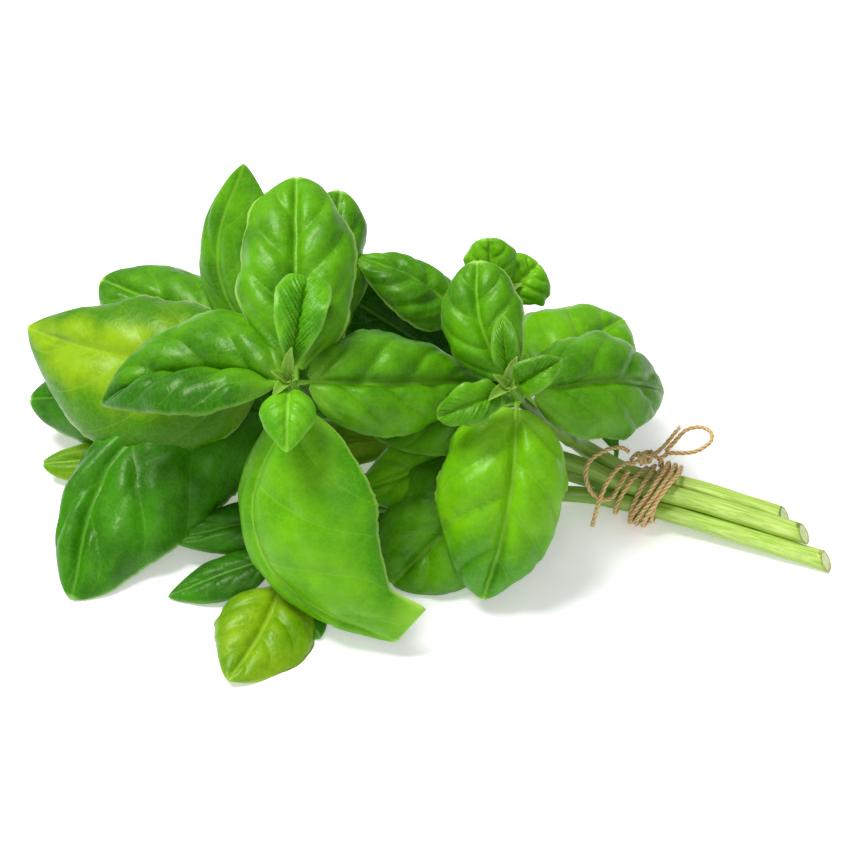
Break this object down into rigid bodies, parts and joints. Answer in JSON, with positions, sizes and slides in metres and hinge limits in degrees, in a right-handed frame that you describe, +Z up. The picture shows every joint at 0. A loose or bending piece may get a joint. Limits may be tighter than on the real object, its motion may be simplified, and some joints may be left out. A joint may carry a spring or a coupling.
{
  "type": "basil bunch",
  "caption": "Bunch of fresh basil: cut sprigs of puckered green leaves lying on their side, stems tied with jute twine.",
  "frame": {"origin": "middle of the bunch's footprint, on the surface it lies on", "axes": "+X along the bunch towards the cut stem ends, +Z up from the surface it lies on, -Y the side with the knot's long free end"},
  "size_m": [0.279, 0.1656, 0.1159],
  "materials": {
    "stem": "pale green soft stem, ridged lengthwise, satin",
    "leaf": "green leaf, puckered between its veins, glossy above and paler below",
    "leaf_bright": "yellow-green leaf, puckered between its veins, satin",
    "leaf_olive": "pale olive-green leaf, satin",
    "leaf_young": "light green young leaf, finely puckered, glossy",
    "twine": "natural jute, two-ply, dry and slightly hairy"
  },
  "bodies": {
    "root": {"stem_a": "stem", "stem_b": "stem", "stem_c": "stem", "stem_d": "stem", "stem_e": "stem", "leaf_a_back": "leaf", "leaf_a_front": "leaf_bright", "leaf_a_left": "leaf", "leaf_a_right": "leaf", "leaf_a_young_back": "leaf_young", "leaf_a_young_front": "leaf_young", "leaf_b_back": "leaf", "leaf_b_front": "leaf", "leaf_b_right": "leaf", "leaf_b_left": "leaf", "leaf_b_right_back": "leaf_bright", "leaf_b_young_right": "leaf_young", "leaf_b_young_left": "leaf_young", "leaf_b_young_back": "leaf_young", "leaf_b_low_left": "leaf", "leaf_b_low_front": "leaf", "leaf_b_low_right": "leaf", "leaf_c_folded": "leaf", "leaf_c_inner": "leaf", "leaf_c_right": "leaf", "leaf_c_top_left": "leaf_bright", "leaf_c_top_right": "leaf_bright", "leaf_e_left": "leaf_olive", "leaf_e_up": "leaf", "leaf_e_behind": "leaf", "leaf_e_back": "leaf", "leaf_e_low_left": "leaf", "leaf_e_tip": "leaf_olive", "leaf_e_front": "leaf", "leaf_d_under": "leaf", "leaf_d_low": "leaf", "leaf_d_front": "leaf_olive", "leaf_d_front_right": "leaf", "leaf_c_low_right": "leaf", "leaf_c_low_left": "leaf", "leaf_c_low_back": "leaf", "leaf_e_low_back": "leaf", "leaf_e_high_back": "leaf", "leaf_d_low_left": "leaf", "twine_wrap": "twine", "twine_knot": "twine", "twine_loop_right": "twine", "twine_loop_left": "twine", "twine_tail": "twine"}
  },
  "joints": []
}
